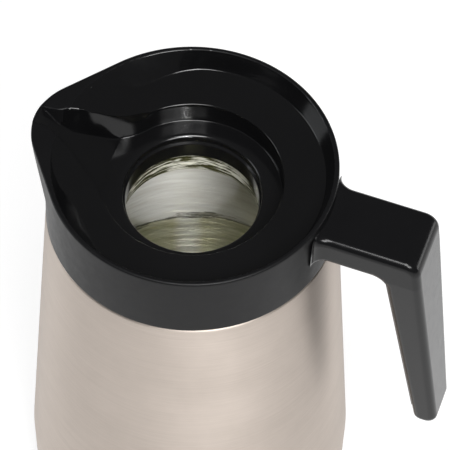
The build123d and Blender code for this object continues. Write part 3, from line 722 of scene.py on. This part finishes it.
def make_floor(glow, paleness):
    """Pale floor that also shows white to the camera and in the metal."""
    bm = bmesh.new()
    bmesh.ops.create_grid(bm, x_segments=8, y_segments=8, size=4.0)
    mesh = bpy.data.meshes.new("floor")
    bm.to_mesh(mesh)
    bm.free()
    floor = bpy.data.objects.new("floor", mesh)
    bpy.context.scene.collection.objects.link(floor)
    look = Look("floor_paper", Base_Color=(paleness, paleness, paleness, 1.0), Roughness=0.9)
    path = look.add("ShaderNodeLightPath").outputs
    seen = look.math("MAXIMUM", path["Is Camera Ray"], path["Is Glossy Ray"])
    seen = look.math("MAXIMUM", seen, path["Is Transmission Ray"])
    look.set(look.shader, Emission_Color=(1.0, 1.0, 1.0, 1.0),
             Emission_Strength=look.math("MULTIPLY", seen, glow))
    mesh.materials.append(look.material)


CAMERA_AZIMUTH = -71.3   # direction from the axis to the camera, from +X
bpy.context.scene.view_settings.view_transform = "Standard"
make_camera()
make_world(0.10)
make_floor(0.80, 0.35)
softbox("key", CAMERA_AZIMUTH + 23.0, 47.0, 1.25, 0.5, 0.38, 9.0)
softbox("left", CAMERA_AZIMUTH - 95.0, 20.0, 1.3, 0.5, 0.7, 3.2, (0.95, 0.98, 1.0))
softbox("right", CAMERA_AZIMUTH + 100.0, 5.0, 1.4, 0.6, 0.3, 2.0)
neck_spot("flask_upper", CAMERA_AZIMUTH + 10.0, 50.0, 1.2, 110.0, 19.0, 0.2)
neck_spot("flask_band", CAMERA_AZIMUTH + 4.0, 63.0, 1.2, 110.0, 9.0, 0.9)
softbox("top", CAMERA_AZIMUTH + 5.0, 68.0, 1.1, 0.42, 0.45, 8.0)


# ---------------------------------------------------------------- collar as a piece
def round_edges(bm, rounds):
    """Weight the sharp edges for a bevel; rounds(middle of the edge) gives each one's radius."""
    layer = bm.edges.layers.float.new("bevel_weight_edge")
    for edge in bm.edges:
        if len(edge.link_faces) != 2 or edge.calc_face_angle(0.0) < math.radians(18.0):
            continue
        middle = (edge.verts[0].co + edge.verts[1].co) / 2
        edge[layer] = min(1.0, max(0.0, rounds(middle) / WIDEST_ROUND))


def add_rounding(piece):
    """Round the weighted edges and keep the large faces flat in shade."""
    bevel = piece.modifiers.new("edge_rounds", "BEVEL")
    bevel.limit_method = "WEIGHT"
    bevel.width = WIDEST_ROUND * MM
    bevel.segments = 3
    bevel.use_clamp_overlap = False
    bevel.miter_outer = "MITER_SHARP"
    normals = piece.modifiers.new("flat_faces_flat", "WEIGHTED_NORMAL")
    normals.keep_sharp = True


def collar_rounds(middle):
    """Radius of the collar's edge at a place, in millimetres."""
    out = math.hypot(middle.x, middle.y)
    reach = -middle.x
    on_wall = out > wall_radius(middle.z) - 0.5
    beyond_pan = out > LAND_INNER_R + 0.5 or middle.z < PAN_FLOOR_Z - WALL
    if on_wall and beyond_pan and out > outline_radius(polar(middle), middle.z) - 0.1:
        if middle.z <= RIM_Z - 0.1:
            return 0.4
        from_lip = smooth_step((abs(middle.y) - 3.0) / 5.0) if reach > 60.0 else 1.0
        return mix(0.25, WIDEST_ROUND, from_lip)
    if middle.z < NECK_FOOT_Z + 0.1:
        return 0.3
    if middle.z < LEDGE_Z - 0.05:
        return 0.2
    if reach > 66.0:
        return 0.0

    # height of the wall beside the edge, so that a low wall gets a small round
    room = 8.0
    if reach > 35.0 and abs(middle.y) < floor_half_width(reach) + 6.0:
        room = pan_height(middle.x, middle.y) - channel_floor(reach)
    if 30.0 < reach < RAMP_END + 0.5 and out > 49.0:
        room = min(room, RIM_Z - pan_height(middle.x, middle.y) - 1.0)
    return min(0.5, 0.3 * room)


bm = collar_mesh()
round_edges(bm, collar_rounds)
collar = add_piece("collar_moulding", bm, gloss_black, replaces=["collar"])
collar.data.materials.append(satin_black)
SATIN_SLOT = 1
for face in collar.data.polygons:
    middle = face.center / MM
    on_side = math.hypot(middle.x, middle.y) > wall_radius(middle.z) - 0.6 and abs(face.normal.z) < 0.5
    on_land = middle.z > RIM_Z - 0.05
    if on_side or on_land:
        face.material_index = SATIN_SLOT
add_rounding(collar)


# ---------------------------------------------------------------- shell and liner as pieces
def rounded(corners):
    """Outline through (radius, z, round) corners, each corner rounded with its own radius."""
    points = []
    count = len(corners)
    for i, (x, z, radius) in enumerate(corners):
        here = Vector((x, z))
        if radius <= 0:
            points.append(here)
            continue
        before = (Vector(corners[i - 1][:2]) - here).normalized()
        after = (Vector(corners[(i + 1) % count][:2]) - here).normalized()
        half = math.acos(max(-1.0, min(1.0, before.dot(after)))) / 2
        centre = here + (before + after).normalized() * (radius / math.sin(half))
        first = here + before * (radius / math.tan(half))
        last = here + after * (radius / math.tan(half))
        for share in steps(0.0, 1.0, 10):
            spoke = (first - centre).lerp(last - centre, share).normalized()
            points.append(centre + spoke * radius)
    return points


def subdivided(points, longest):
    """The same open outline with no run longer than a length."""
    made = [points[0]]
    for before, after in zip(points, points[1:]):
        count = max(1, math.ceil((after - before).length / longest))
        made += [before.lerp(after, i / count) for i in range(1, count + 1)]
    return made


def turned_mesh(outline, count, shift=None):
    """Closed outline of (radius, z) turned about Z; shift(angle, radius, z) moves a point outwards."""
    bm = bmesh.new()
    rows = []
    for point in outline + outline[:1]:
        row = []
        for i in range(count + 1):
            angle = 2 * math.pi * (i % count) / count
            radius = point.x + (shift(angle, point.x, point.y) if shift else 0.0)
            row.append(Vector((radius * math.cos(angle), radius * math.sin(angle), point.y)))
        rows.append(row)
    add_grid(bm, rows)
    weld(bm, 0.0005)
    return bm


shell_outline = subdivided(rounded([
    (SHELL_MOUTH_R, SHELL_TOP_Z, 0.0), (SKIRT_R, SHELL_TOP_Z, 1.4), (KNEE_R, KNEE_Z, 9.0),
    (KNEE_R, SHELL_FOOT_Z, 1.4), (SHELL_FOOT_R, SHELL_FOOT_Z, 0.0),
    (SHELL_FOOT_R, SHELL_FOOT_Z + SHELL_WALL, 0.0),
    (KNEE_R - SHELL_WALL, SHELL_FOOT_Z + SHELL_WALL, 0.8), (KNEE_R - SHELL_WALL, KNEE_Z, 8.4),
    (SKIRT_R - SHELL_WALL, SHELL_TOP_Z - SHELL_WALL, 0.8),
    (SHELL_MOUTH_R, SHELL_TOP_Z - SHELL_WALL, 0.0)]), 6.0)
shell = add_piece("steel_shell", turned_mesh(shell_outline, 320), steel,
                  replaces=["outer_shell"])
mark_sharp(shell, 50.0)


def blown_waves(angle, radius, z):
    """Slow unevenness of the blown glass, with rings in the neck."""
    if radius < 1.0 or z > FLASK_LIP_Z - 3.2:
        return 0.0
    rings = 0.0
    if z > FLASK_NECK_FOOT_Z - 6.0 and radius < FLASK_NECK_R + 3.0:
        rings = 0.10 * math.sin(z * 1.9) + 0.05 * math.sin(z * 4.3 + 2.0 * math.sin(2 * angle))
    slow = 0.10 * math.sin(3 * angle + 0.05 * z) + 0.08 * math.sin(5 * angle - 0.09 * z + 1.3)
    return rings + slow * min(1.0, max(0.0, (FLASK_NECK_FOOT_Z - z) / 20.0))


NEAR_AXIS = 0.01
lip_outer_r = FLASK_NECK_R + 2 * GLASS + FLASK_GAP
lip_under_z = FLASK_LIP_Z - FLASK_LIP_DEPTH
liner_outline = subdivided(rounded([
    (NEAR_AXIS, FLASK_BOTTOM_Z, 0.0), (FLASK_FOOT_R, FLASK_BOTTOM_Z, 17.3),
    (FLASK_SHOULDER_R, FLASK_SHOULDER_Z, 9.0), (FLASK_NECK_R, FLASK_NECK_FOOT_Z, 9.0),
    (FLASK_NECK_R, FLASK_LIP_Z, 1.5), (lip_outer_r, FLASK_LIP_Z, 1.5), (lip_outer_r, lip_under_z, 0.0),
    (FLASK_NECK_R + GLASS, lip_under_z, 0.0), (FLASK_NECK_R + GLASS, FLASK_NECK_FOOT_Z, 7.0),
    (FLASK_SHOULDER_R + GLASS, FLASK_SHOULDER_Z, 10.0),
    (FLASK_FOOT_R + GLASS, FLASK_BOTTOM_Z - GLASS, 18.0), (NEAR_AXIS, FLASK_BOTTOM_Z - GLASS, 0.0)]), 1.5)
add_piece("flask_liner", turned_mesh(liner_outline, 256, blown_waves), silver,
          replaces=["flask_inner_glass"])
